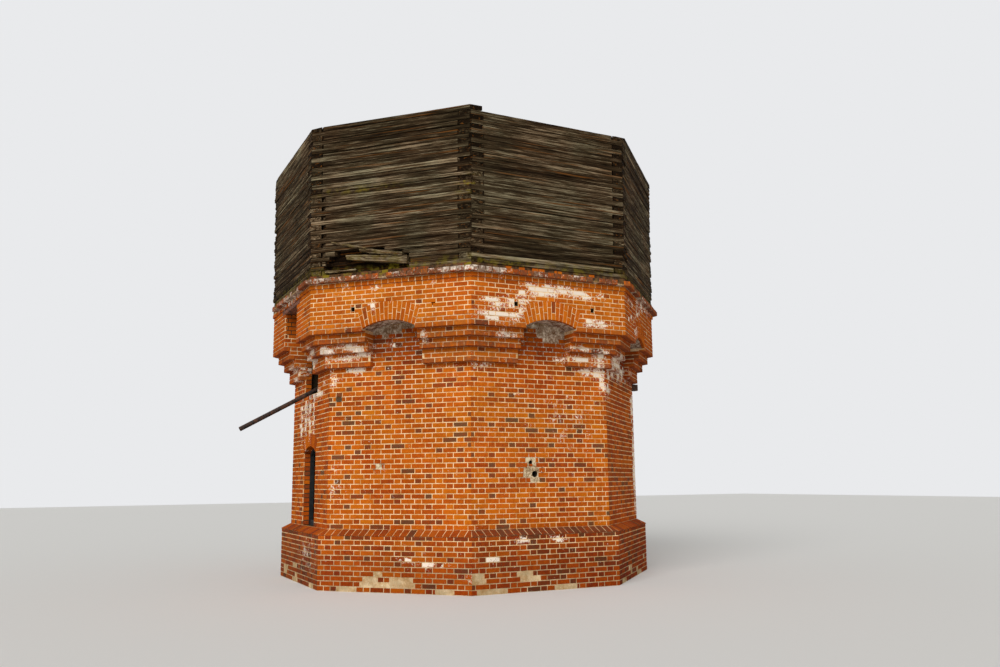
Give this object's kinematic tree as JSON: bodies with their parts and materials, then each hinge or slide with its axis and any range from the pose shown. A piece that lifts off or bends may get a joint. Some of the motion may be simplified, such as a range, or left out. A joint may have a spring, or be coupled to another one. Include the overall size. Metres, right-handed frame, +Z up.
{
  "type": "water tower",
  "caption": "Derelict octagonal brick water tower: plinth, shaft with arched window, corbelled cornice with arched niches, and an open top of stacked planks.",
  "frame": {"origin": "on the ground at the middle of the whole tower's box, spout included; the tower's own axis is 0.353 m towards +X", "axes": "+Z up; the spout and the window face -X, the doorway +X, and the faces are square to the axes and to their diagonals"},
  "size_m": [7.5924, 6.886, 7.439],
  "materials": {
    "plinth_brick": "weathered red brick, stained near the ground",
    "shaft_brick": "weathered orange-red brick with pale mortar",
    "cornice_brick": "weathered orange-red brick with lime bloom",
    "old_timber": "bare, grey-brown and split",
    "iron": "rusted dark"
  },
  "bodies": {
    "root": {"east_plinth_wall": "plinth_brick", "northeast_plinth_wall": "plinth_brick", "north_plinth_wall": "plinth_brick", "northwest_plinth_wall": "plinth_brick", "west_plinth_wall": "plinth_brick", "southwest_plinth_wall": "plinth_brick", "south_plinth_wall": "plinth_brick", "southeast_plinth_wall": "plinth_brick", "northeast_shaft_wall": "shaft_brick", "north_shaft_wall": "shaft_brick", "northwest_shaft_wall": "shaft_brick", "southwest_shaft_wall": "shaft_brick", "south_shaft_wall": "shaft_brick", "southeast_shaft_wall": "shaft_brick", "west_piers": "shaft_brick", "west_head_wall": "shaft_brick", "east_piers": "shaft_brick", "east_head_wall": "shaft_brick", "upper_head_walls": "shaft_brick", "opening_lintels": "iron", "corner_corbels": "cornice_brick", "east_cornice": "cornice_brick", "northeast_cornice": "cornice_brick", "north_cornice": "cornice_brick", "northwest_cornice": "cornice_brick", "west_cornice": "cornice_brick", "southwest_cornice": "cornice_brick", "south_cornice": "cornice_brick", "southeast_cornice": "cornice_brick", "upper_opening_jambs": "cornice_brick", "niche_arches": "cornice_brick", "east_crib_wall": "old_timber", "northeast_crib_wall": "old_timber", "north_crib_wall": "old_timber", "northwest_crib_wall": "old_timber", "west_crib_wall": "old_timber", "southwest_crib_wall": "old_timber", "south_crib_wall": "old_timber", "southeast_crib_wall": "old_timber", "tank_deck": "old_timber", "deck_beams": "iron", "spout_pipe": "iron", "west_window_frame": "old_timber", "iron_bar_end": "iron"}
  },
  "joints": []
}
